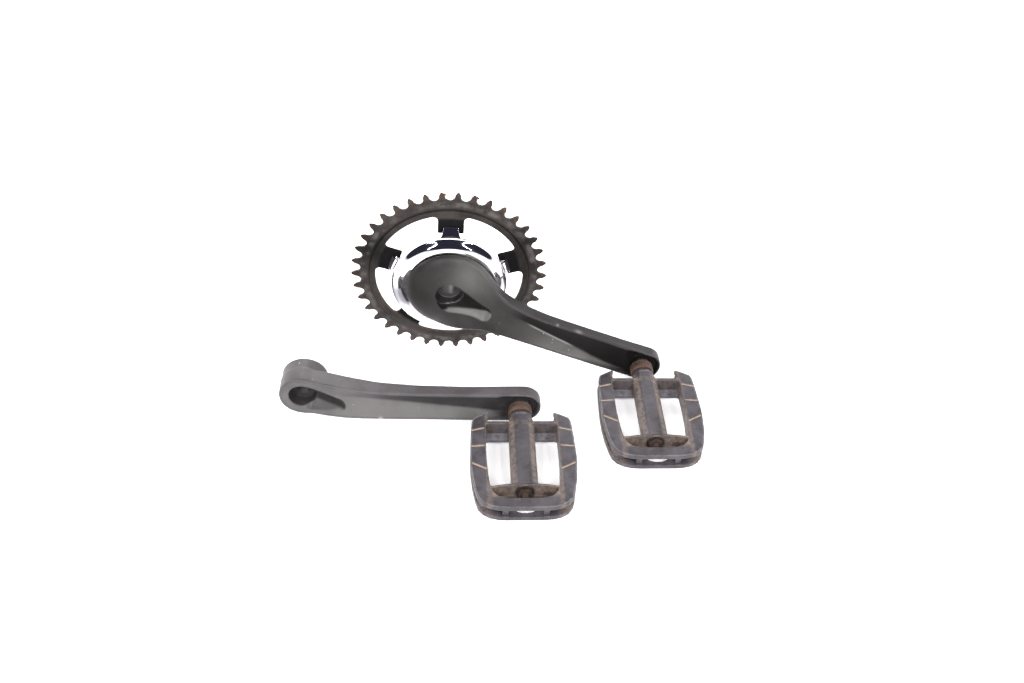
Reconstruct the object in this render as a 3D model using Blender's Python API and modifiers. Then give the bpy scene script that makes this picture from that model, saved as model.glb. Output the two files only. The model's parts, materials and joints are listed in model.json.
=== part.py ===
"""Bicycle crankset in two halves, at rest on a flat surface.

The drive half is a crank arm with a riveted pressed spider and a 38 tooth chainring,
and the other half is a plain crank arm. Each half carries a platform pedal that turns
on its own spindle. World frame: metres, +Z up, +X along the cranks towards the pedals,
-Y outboard, with the origin under the middle of the whole assembly.

Each crank is modelled in its own frame: +X runs from the bottom bracket axis to the
pedal axis, -Y points outboard along both axes, and y = 0 is the inner end of the pedal.
"""
import math

import bmesh
import bpy
from mathutils import Matrix, Vector

MM = 0.001
GAP = 0.3                      # clearance left between neighbouring pieces
CUT = 2.0                      # how far a cutter runs past the faces that it cuts

# Whole assembly at rest
CRANK_LENGTH = 172.5
LEAN = math.radians(4.1)       # outboard ends of the pedals rest on the surface
AXLE_HEIGHT = 14.85            # pedal axis above the surface, at y = 0 of each crank
DRIVE_X = -33.0                # bottom bracket axis of the drive half
DRIVE_Y = 96.7
DRIVE_DROOP = math.radians(21.10)
LEFT_X = -149.2
LEFT_Y = 0.2
LEFT_DROOP = math.radians(1.08)

# Chainring
TEETH = 38
PITCH = 12.7
ROLLER_SEAT = 4.0
TOOTH_TIP_WIDTH = 1.7
PLATE = 2.8
CHAIN_LINE_Y = 49.0            # mid plane of the teeth in the crank frame
JOGGLE_RADIUS = 65.5
JOGGLE_LAP = 3.5
JOGGLE_STEP = 1.9              # how far outboard the inner band sits
WINDOW_RADIUS = 60.5
WINDOW_FILLET = 5.0
TAB_INNER_RADIUS = 43.8
TAB_HALF_WIDTH = 10.4
TOOTH_PHASE = math.radians(1.3)
SPIDER_PHASE = math.radians(37.2)
ARMS = 5

# Pressed spider
DOME_HOLE = 24.0
DOME_FLAT = 38.5
DOME_RIM = 47.0
DOME_FRONT_Y = 30.4
DOME_SHEET = 1.8
DOME_BEVEL = 4.4               # how far back the rim lies
FOOT_RADIUS = 50.6
FOOT_INNER = 43.6
FOOT_HALF_WIDTH = 5.7
ARM_HALF_WIDTH = 8.3

# Rivets
RIVET_RADIUS = 1.3
RIVET_HEAD = 2.6
RIVET_HEAD_HEIGHT = 1.2
RIVET_CIRCLE = 46.6
RIVET_HOLE_SPAN = (40.0, 56.0)

# Crank arms
BORE_RADIUS = 11.0             # extractor thread
BORE_DEPTH = 12.0
TAPER_HALF = 6.35              # square taper, half of its width
TAPER_WIDENS = 0.5
SCOOP_X = 17.0                 # hollow beside the bore
SCOOP_PROUD = 4.5
SCOOP_SIZE = (20.0, 7.0, 10.5)
ARM_STEPS = 18                 # sections along an arm
ARM_CORNER = 2.6               # rounding of its long edges
ARM_DRAFT = 0.8                # inboard edges are this much narrower
EYE_RADIUS = 14.4              # rounded end of an arm
EYE_OFFSET = 2.2               # its centre is this far past the pedal axis
EYE_HOLE_END = 18.0
EYE_FACE_Y = 2.5
SPINDLE_THREAD = 6.9

# Pedal
PEDAL_THICK = 14.8
LAYER = 4.0
REACH = 104.1                  # outer edge of the cage from y = 0
BORE_IN_BODY = 6.5
JOURNAL = 4.2
STUD = 3.0
FLANGE = 9.4
WASHER = 6.9
NUT_RADIUS = 6.2               # across the corners, halved
NUT_MIDDLE = 85.8
NUT_THICK = 2.8
BUSH_LENGTH = 10.0
BARREL_START = 6.6             # distances outboard of y = 0
BARREL_FULL = 17.0             # full width from here on
BARREL_END = 81.7
BARREL_FLAT = 5.0              # half width of its flat top
BARREL_WIDE = 10.0             # half width of its sides
BARREL_NECK = 0.72             # width at the start, as a share of the full width
SEAL_LENGTH = 2.2
SEAL_START = 6.9
INNER_BUSH_START = 9.4
SPINDLE_INNER_END = 13.9
SPINDLE_SHOULDER = 6.0
JOURNAL_END = 82.5
STUD_END = 87.8
WASHER_SPAN = (82.9, 84.1)

ROUND = 40                     # segments of a large round piece
SMALL_ROUND = 24


def clear_scene():
    for obj in list(bpy.data.objects):
        bpy.data.objects.remove(obj)


def make_collection(name):
    collection = bpy.data.collections.new(name)
    bpy.context.scene.collection.children.link(collection)
    return collection


def make_material(name, colour, roughness, metallic):
    material = bpy.data.materials.new(name)
    material.use_nodes = True
    shader = material.node_tree.nodes["Principled BSDF"]
    shader.inputs["Base Color"].default_value = (*colour, 1.0)
    shader.inputs["Roughness"].default_value = roughness
    shader.inputs["Metallic"].default_value = metallic
    return material


clear_scene()
PARTS = make_collection("bicycle_crankset")
CUTTERS = make_collection("cutters")

BLACK_PAINT = make_material("black_paint", (0.055, 0.05, 0.052), 0.5, 0.0)
GREY_PAINT = make_material("grey_paint", (0.11, 0.105, 0.1), 0.5, 0.0)
BLACK_OXIDE = make_material("black_oxide", (0.05, 0.043, 0.038), 0.55, 0.6)
CHROME = make_material("chrome", (0.8, 0.8, 0.82), 0.08, 1.0)
RUSTY_STEEL = make_material("rusty_steel", (0.2, 0.09, 0.05), 0.75, 0.4)
RESIN = make_material("pedal_resin", (0.08, 0.075, 0.08), 0.6, 0.0)
NYLON = make_material("nylon", (0.6, 0.57, 0.5), 0.5, 0.0)
RUBBER = make_material("rubber", (0.02, 0.02, 0.02), 0.8, 0.0)


def make_empty(name, parent, location, rotation):
    empty = bpy.data.objects.new(name, None)
    empty.parent = parent
    empty.location = Vector(location) * MM
    empty.rotation_mode = "YXZ"
    empty.rotation_euler = rotation
    PARTS.objects.link(empty)
    return empty


def place(obj, parent, location=(0.0, 0.0, 0.0)):
    obj.parent = parent
    obj.location = Vector(location) * MM
    bpy.context.view_layer.update()
    return obj


def new_object(name, mesh, material=None, collection=None):
    obj = bpy.data.objects.new(name, mesh)
    (collection or PARTS).objects.link(obj)
    if material is not None:
        mesh.materials.append(material)
    return obj


def make_cutter(name, mesh, parent, location=(0.0, 0.0, 0.0)):
    return as_cutter(new_object(name, mesh, collection=CUTTERS), parent, location)


def as_cutter(cutter, parent, location=(0.0, 0.0, 0.0)):
    cutter.hide_render = True
    cutter.display_type = "WIRE"
    return place(cutter, parent, location)


def finish_mesh(bm, name):
    bmesh.ops.recalc_face_normals(bm, faces=bm.faces)
    mesh = bpy.data.meshes.new(name)
    bm.to_mesh(mesh)
    bm.free()
    mesh.shade_smooth()
    mesh.set_sharp_from_angle(angle=math.radians(32))
    return mesh


def boolean(obj, tool, operation):
    modifier = obj.modifiers.new(operation.lower() + "_" + tool.name, "BOOLEAN")
    modifier.operation = operation
    modifier.solver = "EXACT"
    modifier.object = tool
    return modifier


def arc(cx, cy, radius, start, end, count):
    """Points along an arc, both ends included, angles in radians."""
    step = (end - start) / (count - 1)
    angles = [start + step * i for i in range(count)]
    return [(cx + radius * math.cos(a), cy + radius * math.sin(a)) for a in angles]


def outline_mesh(name, loops, y_middle, thickness):
    """Flat outline in the crank's XZ plane, thickened along Y about y_middle."""
    curve = bpy.data.curves.new(name, "CURVE")
    curve.dimensions = "2D"
    curve.fill_mode = "BOTH"
    curve.extrude = thickness / 2 * MM
    for loop in loops:
        spline = curve.splines.new("POLY")
        spline.points.add(len(loop) - 1)
        for point, (x, z) in zip(spline.points, loop):
            point.co = (x * MM, z * MM, 0.0, 1.0)
        spline.use_cyclic_u = True
    holder = bpy.data.objects.new(name + "_outline", curve)
    CUTTERS.objects.link(holder)
    holder.matrix_world = (Matrix.Translation((0.0, y_middle * MM, 0.0))
                           @ Matrix.Rotation(math.pi / 2, 4, "X"))
    bpy.context.view_layer.update()
    evaluated = holder.evaluated_get(bpy.context.evaluated_depsgraph_get())
    mesh = bpy.data.meshes.new_from_object(evaluated)
    mesh.transform(holder.matrix_world)
    bpy.data.objects.remove(holder)
    bm = bmesh.new()
    bm.from_mesh(mesh)
    bmesh.ops.remove_doubles(bm, verts=bm.verts, dist=1e-6)
    bpy.data.meshes.remove(mesh)
    return finish_mesh(bm, name)


def turned(name, profile, segments, material=None, collection=None):
    """Object made by a Screw modifier: a (radius, y) profile turned about the Y axis.

    A ring's profile is closed. A solid's profile starts and ends on the axis. The faces
    point out when the outer side runs down the axis, so a profile that runs up is reversed.
    """
    loop = zip(profile, profile[1:] + profile[:1])
    turning = sum(r0 * y1 - r1 * y0 for (r0, y0), (r1, y1) in loop)
    if turning > 0.0:
        profile = profile[::-1]
    bm = bmesh.new()
    verts = [bm.verts.new((radius * MM, y * MM, 0.0)) for radius, y in profile]
    for near, far in zip(verts, verts[1:]):
        bm.edges.new((near, far))
    if profile[0][0] > 0.0:
        bm.edges.new((verts[-1], verts[0]))
    mesh = bpy.data.meshes.new(name)
    bm.to_mesh(mesh)
    bm.free()
    obj = new_object(name, mesh, material, collection)
    screw = obj.modifiers.new("screw", "SCREW")
    screw.axis = "Y"
    screw.steps = segments
    screw.render_steps = segments
    screw.use_merge_vertices = True
    screw.merge_threshold = 1e-5
    return obj


def cylinder_mesh(name, radius, low, high, segments):
    """Cylinder about the Y axis from y = low to y = high."""
    bm = bmesh.new()
    onto_y = Matrix.Translation((0.0, (low + high) / 2 * MM, 0.0)) @ Matrix.Rotation(math.pi / 2, 4, "X")
    bmesh.ops.create_cone(bm, cap_ends=True, segments=segments, radius1=radius * MM, radius2=radius * MM,
                          depth=(high - low) * MM, matrix=onto_y)
    return finish_mesh(bm, name)


def loft_mesh(name, sections):
    """Closed skin through rings of points with the same count, in millimetres."""
    bm = bmesh.new()
    rings = [[bm.verts.new(Vector(p) * MM) for p in ring] for ring in sections]
    count = len(rings[0])
    for near, far in zip(rings, rings[1:]):
        for i in range(count):
            j = (i + 1) % count
            bm.faces.new((near[i], near[j], far[j], far[i]))
    bm.faces.new(rings[0])
    bm.faces.new(list(reversed(rings[-1])))
    return finish_mesh(bm, name)


def blend(points, x):
    """Smooth curve through (x, value) points, flat past both ends."""
    if x <= points[0][0]:
        return points[0][1]
    for (x0, v0), (x1, v1) in zip(points, points[1:]):
        if x <= x1:
            t = (x - x0) / (x1 - x0)
            return v0 + (v1 - v0) * (1 - math.cos(math.pi * t)) / 2 * 0.35 + (v1 - v0) * t * 0.65
    return points[-1][1]


# ---------------------------------------------------------------- chainring

def tooth_outline():
    pitch_radius = PITCH / 2 / math.sin(math.pi / TEETH)
    tip_radius = PITCH * (0.6 + 1 / math.tan(math.pi / TEETH)) / 2
    step = math.tau / TEETH
    seat_half_turn = math.radians(95)
    outline = []
    for tooth in range(TEETH):
        angle = TOOTH_PHASE + step * tooth
        half = TOOTH_TIP_WIDTH / 2 / tip_radius
        outline.append((tip_radius * math.cos(angle - half), tip_radius * math.sin(angle - half)))
        outline.append((tip_radius * math.cos(angle + half), tip_radius * math.sin(angle + half)))
        gap_angle = angle + step / 2
        cx = pitch_radius * math.cos(gap_angle)
        cy = pitch_radius * math.sin(gap_angle)
        inward = gap_angle + math.pi
        outline += arc(cx, cy, ROLLER_SEAT, inward + seat_half_turn, inward - seat_half_turn, 6)
    return outline


def circle(radius, count):
    return [(radius * math.cos(math.tau * i / count), radius * math.sin(math.tau * i / count))
            for i in range(count)]


def window_outline():
    """Inner edge of the ring: five tabs that point at the middle, windows between them."""
    centre_offset = TAB_HALF_WIDTH + WINDOW_FILLET
    centre_radius = WINDOW_RADIUS - WINDOW_FILLET
    reach = math.sqrt(centre_radius ** 2 - centre_offset ** 2)
    swing = math.atan2(centre_offset, reach)
    outline = []
    for arm in range(ARMS):
        angle = SPIDER_PHASE + math.tau / ARMS * arm
        half = [(TAB_INNER_RADIUS, TAB_HALF_WIDTH)]
        half += arc(reach, centre_offset, WINDOW_FILLET, -math.pi / 2, swing, 5)
        tab = [(x, -y) for x, y in reversed(half)] + half
        outline += [(x * math.cos(angle) - y * math.sin(angle),
                     x * math.sin(angle) + y * math.cos(angle)) for x, y in tab]
        start = angle + swing
        end = angle + math.tau / ARMS - swing
        outline += arc(0.0, 0.0, WINDOW_RADIUS, start, end, 8)[1:-1]
    return outline


def polar(radius, angle, y):
    return (radius * math.cos(angle), y, radius * math.sin(angle))


def build_chainring(frame):
    outer_mesh = outline_mesh("tooth_ring", [tooth_outline(), circle(JOGGLE_RADIUS - JOGGLE_LAP, 60)],
                              CHAIN_LINE_Y, PLATE)
    ring = place(new_object("chainring", outer_mesh, BLACK_OXIDE), frame)
    inner_mesh = outline_mesh("tab_ring", [circle(JOGGLE_RADIUS, 60), window_outline()],
                              CHAIN_LINE_Y - JOGGLE_STEP, PLATE)
    boolean(ring, make_cutter("tab_ring", inner_mesh, frame), "UNION")
    for arm in range(ARMS):
        angle = SPIDER_PHASE + math.tau / ARMS * arm
        hole = cylinder_mesh("rivet_hole", RIVET_RADIUS + GAP, *RIVET_HOLE_SPAN, 12)
        spot = polar(RIVET_CIRCLE, angle, 0.0)
        boolean(ring, make_cutter("ring_rivet_hole_%d" % (arm + 1), hole, frame, spot), "DIFFERENCE")
    return ring


# ------------------------------------------------------------------- spider

def dome_profile():
    front = DOME_FRONT_Y
    back = DOME_FRONT_Y + DOME_SHEET
    rim = front + DOME_BEVEL
    return [(DOME_HOLE, front), (DOME_FLAT, front), (DOME_RIM, rim), (DOME_RIM, rim + DOME_SHEET),
            (DOME_FLAT - 0.6, back), (DOME_HOLE, back)]


def spider_arm_mesh(name):
    """One arm along +X: a plate from the rim back to the foot, and the foot turned in."""
    top_y = DOME_FRONT_Y + DOME_BEVEL + 0.4
    tab_front = CHAIN_LINE_Y - JOGGLE_STEP - PLATE / 2
    foot_back = tab_front - GAP
    foot_front = foot_back - DOME_SHEET
    middle_y = (top_y + foot_front) / 2
    side = [(DOME_RIM - 0.4, top_y), (DOME_RIM + 1.3, middle_y), (FOOT_RADIUS, foot_front),
            (FOOT_RADIUS, foot_back), (FOOT_INNER, foot_back), (FOOT_INNER, foot_front),
            (FOOT_RADIUS - 2.2, foot_front), (DOME_RIM - 0.7, middle_y), (DOME_RIM - 2.6, top_y)]
    widths = [ARM_HALF_WIDTH, 6.6, FOOT_HALF_WIDTH, FOOT_HALF_WIDTH, FOOT_HALF_WIDTH,
              FOOT_HALF_WIDTH, FOOT_HALF_WIDTH, 6.6, ARM_HALF_WIDTH]
    left = [(r, y, -w) for (r, y), w in zip(side, widths)]
    right = [(r, y, w) for (r, y), w in zip(side, widths)]
    return loft_mesh(name, [left, right])


def build_spider(frame):
    spider = place(turned("spider", dome_profile(), 60, CHROME), frame)
    for arm in range(ARMS):
        angle = SPIDER_PHASE + math.tau / ARMS * arm
        mesh = spider_arm_mesh("spider_arm")
        mesh.transform(Matrix.Rotation(-angle, 4, "Y"))
        boolean(spider, make_cutter("spider_arm_%d" % (arm + 1), mesh, frame), "UNION")
    for arm in range(ARMS):
        angle = SPIDER_PHASE + math.tau / ARMS * arm
        hole = cylinder_mesh("rivet_hole", RIVET_RADIUS + GAP, *RIVET_HOLE_SPAN, 12)
        spot = polar(RIVET_CIRCLE, angle, 0.0)
        boolean(spider, make_cutter("foot_rivet_hole_%d" % (arm + 1), hole, frame, spot), "DIFFERENCE")
    return spider


def build_rivets(frame):
    tab_front = CHAIN_LINE_Y - JOGGLE_STEP - PLATE / 2
    tab_back = tab_front + PLATE
    front = tab_front - GAP - DOME_SHEET + 0.1
    head = tab_back + GAP
    profile = [(0, front), (RIVET_RADIUS, front), (RIVET_RADIUS, head), (RIVET_HEAD, head),
               (RIVET_HEAD - 0.5, head + RIVET_HEAD_HEIGHT), (0, head + RIVET_HEAD_HEIGHT)]
    for arm in range(ARMS):
        angle = SPIDER_PHASE + math.tau / ARMS * arm
        rivet = turned("spider_rivet_%d" % (arm + 1), profile, 16, CHROME)
        place(rivet, frame, polar(RIVET_CIRCLE, angle, 0.0))


# --------------------------------------------------------------- crank arms

def arm_section(x, top, bottom, outer_y, inner_y, dish, corner):
    """Ring of points across an arm at x, starting on the inboard face at the top."""
    draft = ARM_DRAFT
    height = top - bottom
    middle = (top + bottom) / 2
    ring = [(inner_y, top - draft - corner), (inner_y - corner * 0.3, top - draft - corner * 0.3),
            (inner_y - corner, top - draft), (outer_y + corner, top),
            (outer_y + corner * 0.3, top - corner * 0.3), (outer_y, top - corner)]
    for part in (0.3, 0.0, -0.3):
        ring.append((outer_y + dish * math.cos(part * math.pi / 1.4), middle + height * part))
    ring += [(outer_y, bottom + corner), (outer_y + corner * 0.3, bottom + corner * 0.3),
             (outer_y + corner, bottom), (inner_y - corner, bottom + draft),
             (inner_y - corner * 0.3, bottom + draft + corner * 0.3),
             (inner_y, bottom + draft + corner)]
    return [(x, y, z) for y, z in ring]


def arm_sections(shape):
    """Rings from inside the boss to the rounded end around the pedal axis."""
    start = shape["start"]
    eye_x = CRANK_LENGTH + EYE_OFFSET
    sections = []
    for i in range(ARM_STEPS + 1):
        x = start + (eye_x - start) * i / ARM_STEPS
        sections.append(arm_section(x, blend(shape["half"], x), -blend(shape["half"], x),
                                    blend(shape["outer"], x),
                                    blend(shape["outer"], x) + blend(shape["thick"], x),
                                    blend(shape["dish"], x), ARM_CORNER))
    outer = shape["outer"][-1][1]
    thick = shape["thick"][-1][1]
    for degrees in (18, 34, 48, 60, 70):
        turn = math.radians(degrees)
        half = EYE_RADIUS * math.cos(turn)
        x = eye_x + EYE_RADIUS * math.sin(turn)
        corner = min(ARM_CORNER, half * 0.3)
        sections.append(arm_section(x, half, -half, outer, outer + thick, 0.0, corner))
    return sections


RIGHT_ARM = {
    "start": 3.0,
    "half": [(3, 25.0), (16, 24.4), (30, 21.0), (46, 17.2), (64, 15.4), (84, 14.8), (120, 15.0), (150, 15.0),
             (172.5, 14.4)],
    "outer": [(3, 25.0), (16, 21.4), (30, 15.0), (46, 9.6), (64, 7.2), (84, 5.8), (120, 4.6), (150, 3.4),
              (172.5, 2.5)],
    "thick": [(3, 4.0), (16, 7.8), (30, 13.8), (46, 13.0), (64, 11.4), (84, 10.4), (120, 9.6), (150, 10.2),
              (172.5, 11.6)],
    "dish": [(3, 0.0), (40, 0.6), (80, 2.4), (120, 3.0), (150, 2.2), (164, 0.0)],
}
RIGHT_BOSS = [(0, 50.0), (19.0, 50.0), (20.0, 49.0), (23.7, 46.0), (23.7, 30.1), (33.5, 30.1),
              (35.5, 29.0), (34.0, 26.0), (29.0, 23.0), (22.0, 21.2), (13.0, 20.6), (0, 20.6)]
LEFT_ARM = {
    "start": 4.0,
    "half": [(4, 17.0), (20, 16.8), (38, 16.4), (60, 15.2), (90, 14.6), (130, 14.7), (172.5, 14.4)],
    "outer": [(4, 12.2), (20, 8.1), (38, 4.9), (60, 3.3), (90, 2.8), (130, 2.4), (172.5, 2.5)],
    "thick": [(4, 26.0), (20, 19.5), (38, 14.4), (60, 11.8), (90, 10.4), (130, 9.8), (172.5, 11.6)],
    "dish": [(4, 0.0), (34, 1.6), (80, 2.8), (130, 2.8), (150, 2.0), (164, 0.0)],
}
LEFT_BOSS = [(0, 39.5), (17.0, 39.5), (19.0, 37.0), (19.0, 16.0), (17.6, 13.6), (14.5, 13.0), (0, 13.0)]


def scoop_mesh():
    """Ellipsoid that hollows the outboard face from the bore towards the beam."""
    bm = bmesh.new()
    bmesh.ops.create_uvsphere(bm, u_segments=20, v_segments=12, radius=1.0)
    bmesh.ops.scale(bm, vec=Vector(SCOOP_SIZE) * MM, verts=bm.verts)
    return finish_mesh(bm, "scoop")


def taper_mesh(near, far):
    """Square socket along Y that widens a little towards the frame side."""
    bm = bmesh.new()
    onto_y = (Matrix.Translation((0.0, (near + far) / 2 * MM, 0.0)) @ Matrix.Rotation(math.pi / 2, 4, "X")
              @ Matrix.Rotation(math.pi / 4, 4, "Z"))
    corner = math.sqrt(2) * MM
    bmesh.ops.create_cone(bm, cap_ends=True, segments=4, radius1=(TAPER_HALF + TAPER_WIDENS) * corner,
                          radius2=TAPER_HALF * corner, depth=(far - near) * MM,
                          matrix=onto_y @ Matrix.Rotation(math.pi, 4, "X"))
    return finish_mesh(bm, "taper")


def build_arm(name, frame, shape, boss, material):
    boss_inner = boss[0][1]
    boss_outer = boss[-1][1]
    arm = new_object(name, loft_mesh(name, arm_sections(shape)), material)
    place(arm, frame)
    boss_tool = as_cutter(turned(name + "_boss", boss, ROUND, collection=CUTTERS), frame)
    boolean(arm, boss_tool, "UNION")

    scoop = make_cutter(name + "_scoop", scoop_mesh(), frame, (SCOOP_X, boss_outer - SCOOP_PROUD, 0.0))
    boolean(arm, scoop, "DIFFERENCE")
    bore_mesh = cylinder_mesh("bore", BORE_RADIUS, boss_outer - 6 * CUT, boss_outer + BORE_DEPTH, 32)
    boolean(arm, make_cutter(name + "_bore", bore_mesh, frame), "DIFFERENCE")
    socket_mesh = taper_mesh(boss_outer + BORE_DEPTH - CUT, boss_inner + CUT)
    boolean(arm, make_cutter(name + "_taper", socket_mesh, frame), "DIFFERENCE")
    eye_mesh = cylinder_mesh("eye", SPINDLE_THREAD + GAP, -CUT, EYE_HOLE_END, SMALL_ROUND)
    boolean(arm, make_cutter(name + "_eye", eye_mesh, frame, (CRANK_LENGTH, 0.0, 0.0)), "DIFFERENCE")
    return arm


# ------------------------------------------------------------------- pedals

def cage_outline():
    """Half outline at +X of the pedal in plan, inner ear to the middle of the outer edge."""
    half = [(26.5, 8.8), (32.0, 10.6), (37.2, 14.4), (38.6, 18.0), (39.6, 34.0), (40.2, 55.0),
            (39.2, 74.0), (36.8, 88.0)]
    half += arc(21.0, 88.5, 15.6, math.radians(12), math.radians(76), 6)
    half += [(12.0, REACH)]
    return half


def pedal_mesh_xy(name, loops, thickness, z_middle=0.0):
    """Outline of (x, s) points, s outboard from the pedal's inner end, thickened along Z."""
    mesh = outline_mesh(name, loops, 0.0, thickness)
    mesh.transform(Matrix.Translation((0, 0, z_middle * MM)) @ Matrix.Rotation(math.pi / 2, 4, "X"))
    return mesh


def mirrored(half):
    return half + [(-x, s) for x, s in reversed(half)]


def build_pedal_body(name, frame):
    half = cage_outline()
    inner = [(25.6, 12.5), (26.6, 17.4)]
    outline = mirrored(half)
    outline += [(-x, s) for x, s in inner]
    outline += list(reversed(inner))
    body = new_object(name, pedal_mesh_xy(name, [outline], PEDAL_THICK), RESIN)
    place(body, frame)

    def tool(tag, mesh, operation, location=(0, 0, 0)):
        boolean(body, make_cutter(name + "_" + tag, mesh, frame, location), operation)

    window = [(9.6, 21.0), (27.2, 21.0), (28.0, 40.0), (27.6, 60.0), (26.0, 82.6), (9.6, 80.4)]
    for side in (1, -1):
        loop = [(x * side, s) for x, s in window]
        tool("window_%s" % ("a" if side > 0 else "b"),
             pedal_mesh_xy("window", [loop], PEDAL_THICK + 2 * CUT), "DIFFERENCE")
    pocket = mirrored([(9.0, 82.3), (15.0, 83.2), (24.4, 85.2), (20.0, 91.4), (12.0, 94.2)])
    tool("pocket", pedal_mesh_xy("pocket", [pocket], PEDAL_THICK + 2 * CUT), "DIFFERENCE")

    slot_height = PEDAL_THICK - 2 * LAYER
    slots = [mirrored([(13.0, 93.0), (13.0, REACH + CUT)])]
    side_slot = [(17.6, 92.0), (34.0, 86.0), (44.0, 88.0), (40.0, REACH + CUT), (17.6, REACH + CUT)]
    slots.append(side_slot)
    slots.append([(-x, s) for x, s in side_slot])
    for index, slot in enumerate(slots):
        tool("slot_%d" % index, pedal_mesh_xy("slot", [slot], slot_height), "DIFFERENCE")

    edge = PEDAL_THICK / 2 - LAYER
    top = PEDAL_THICK / 2 - 0.2
    half_ring = [(BARREL_FLAT, top), (BARREL_WIDE, edge), (BARREL_WIDE, -edge), (BARREL_FLAT, -top)]
    ring = half_ring + [(-x, z) for x, z in reversed(half_ring)]
    sizes = [(BARREL_START, BARREL_NECK), (BARREL_FULL, 1.0), (BARREL_END, 1.0)]
    rings = [[(x * share, -s, z) for x, z in ring] for s, share in sizes]
    tool("barrel", loft_mesh("barrel", rings), "UNION")
    bore = cylinder_mesh("bore", BORE_IN_BODY, -BARREL_END - 2 * CUT, -BARREL_START + CUT, SMALL_ROUND)
    tool("bore", bore, "DIFFERENCE")
    return body


def ring_profile(inner, outer, start, end):
    """Section of a ring between two distances outboard."""
    return [(inner, -start), (outer, -start), (outer, -end), (inner, -end)]


def spindle_profile():
    return [(0.0, SPINDLE_INNER_END), (SPINDLE_THREAD - 0.6, SPINDLE_INNER_END),
            (SPINDLE_THREAD, SPINDLE_INNER_END - 0.7), (SPINDLE_THREAD, EYE_FACE_Y - GAP),
            (FLANGE, EYE_FACE_Y - GAP), (FLANGE, 0.6 - SPINDLE_SHOULDER), (FLANGE - 0.8, -SPINDLE_SHOULDER),
            (JOURNAL, -SPINDLE_SHOULDER), (JOURNAL, -JOURNAL_END), (STUD, -JOURNAL_END),
            (STUD, -STUD_END), (0.0, -STUD_END)]


def build_spindle(side, frame):
    """Spindle, washer and locknut, which are fixed to the arm."""
    at_axis = (CRANK_LENGTH, 0.0, 0.0)
    place(turned(side + "_pedal_spindle", spindle_profile(), SMALL_ROUND, RUSTY_STEEL), frame, at_axis)
    washer = ring_profile(STUD + GAP, WASHER, *WASHER_SPAN)
    place(turned(side + "_pedal_washer", washer, SMALL_ROUND, RUSTY_STEEL), frame, at_axis)
    nut_mesh = outline_mesh("nut", [circle(NUT_RADIUS, 6), circle(STUD + GAP, 20)], -NUT_MIDDLE, NUT_THICK)
    place(new_object(side + "_pedal_locknut", nut_mesh, RUSTY_STEEL), frame, at_axis)


def build_pedal(side, frame):
    """Pedal body with its two bushes and the dust seal, which turn together."""
    build_pedal_body(side + "_pedal_body", frame)
    outer_bush_start = BARREL_END - BUSH_LENGTH - 0.2
    linings = [("inner_bush", INNER_BUSH_START, BUSH_LENGTH, NYLON),
               ("outer_bush", outer_bush_start, BUSH_LENGTH, NYLON),
               ("dust_seal", SEAL_START, SEAL_LENGTH, RUBBER)]
    for tag, start, length, material in linings:
        profile = ring_profile(JOURNAL + GAP, BORE_IN_BODY - GAP, start, start + length)
        place(turned("%s_pedal_%s" % (side, tag), profile, SMALL_ROUND, material), frame)


# ----------------------------------------------------------------- assembly

def crank_frame(name, x, y, droop):
    """Empty on the bottom bracket axis, at y = 0 of the crank, with the crank at rest."""
    along = Vector((math.cos(droop), 0, -math.sin(droop)))
    lean = Matrix.Rotation(LEAN, 3, "X")
    height = AXLE_HEIGHT - CRANK_LENGTH * (lean @ along).z
    return make_empty(name, None, (x, y, height), (LEAN, droop, 0.0))


def build_half(side, x, y, droop):
    frame = crank_frame(side + "_crank_frame", x, y, droop)
    pedal_frame = make_empty(side + "_pedal_frame", frame, (CRANK_LENGTH, 0.0, 0.0), (0.0, -droop, 0.0))
    bpy.context.view_layer.update()
    build_spindle(side, frame)
    build_pedal(side, pedal_frame)
    return frame


right = build_half("right", DRIVE_X, DRIVE_Y - CHAIN_LINE_Y * math.cos(LEAN), DRIVE_DROOP)
build_arm("right_crank_arm", right, RIGHT_ARM, RIGHT_BOSS, BLACK_PAINT)
build_chainring(right)
build_spider(right)
build_rivets(right)

left = build_half("left", LEFT_X, LEFT_Y, LEFT_DROOP)
build_arm("left_crank_arm", left, LEFT_ARM, LEFT_BOSS, GREY_PAINT)
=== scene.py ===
import json
import math

import bmesh
import bpy
import numpy as np
from mathutils import Matrix, Vector


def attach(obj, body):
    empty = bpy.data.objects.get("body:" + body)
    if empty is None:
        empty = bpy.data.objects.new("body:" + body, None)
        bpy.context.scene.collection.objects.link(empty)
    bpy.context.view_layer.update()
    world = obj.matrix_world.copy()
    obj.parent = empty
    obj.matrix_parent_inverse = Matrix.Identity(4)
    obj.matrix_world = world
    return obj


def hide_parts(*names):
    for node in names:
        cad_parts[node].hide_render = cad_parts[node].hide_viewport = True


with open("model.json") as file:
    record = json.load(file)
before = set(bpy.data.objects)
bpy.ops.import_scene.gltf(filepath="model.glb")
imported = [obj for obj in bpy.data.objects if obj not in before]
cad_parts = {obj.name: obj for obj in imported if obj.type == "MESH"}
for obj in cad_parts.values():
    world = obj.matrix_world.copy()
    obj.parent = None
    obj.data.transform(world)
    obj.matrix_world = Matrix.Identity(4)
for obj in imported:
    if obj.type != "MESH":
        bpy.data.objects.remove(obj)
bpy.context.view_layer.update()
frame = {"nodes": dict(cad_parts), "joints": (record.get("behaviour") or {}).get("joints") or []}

# Lengths are in millimetres in each crank's own frame: +X from the bottom bracket axis to
# the pedal axis, -Y outboard, y = 0 at the pedal's inner end. Objects are in metres.
MM = 0.001
CRANK_LENGTH = 172.5
JOINT_REACH = 50.0             # the spin joints' stated points, outboard of y = 0
RIGHT_DROOP = math.radians(21.10)
LEFT_DROOP = math.radians(1.08)
SETTLING = 3                   # passes that move a mesh's vertices onto its surface

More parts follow.
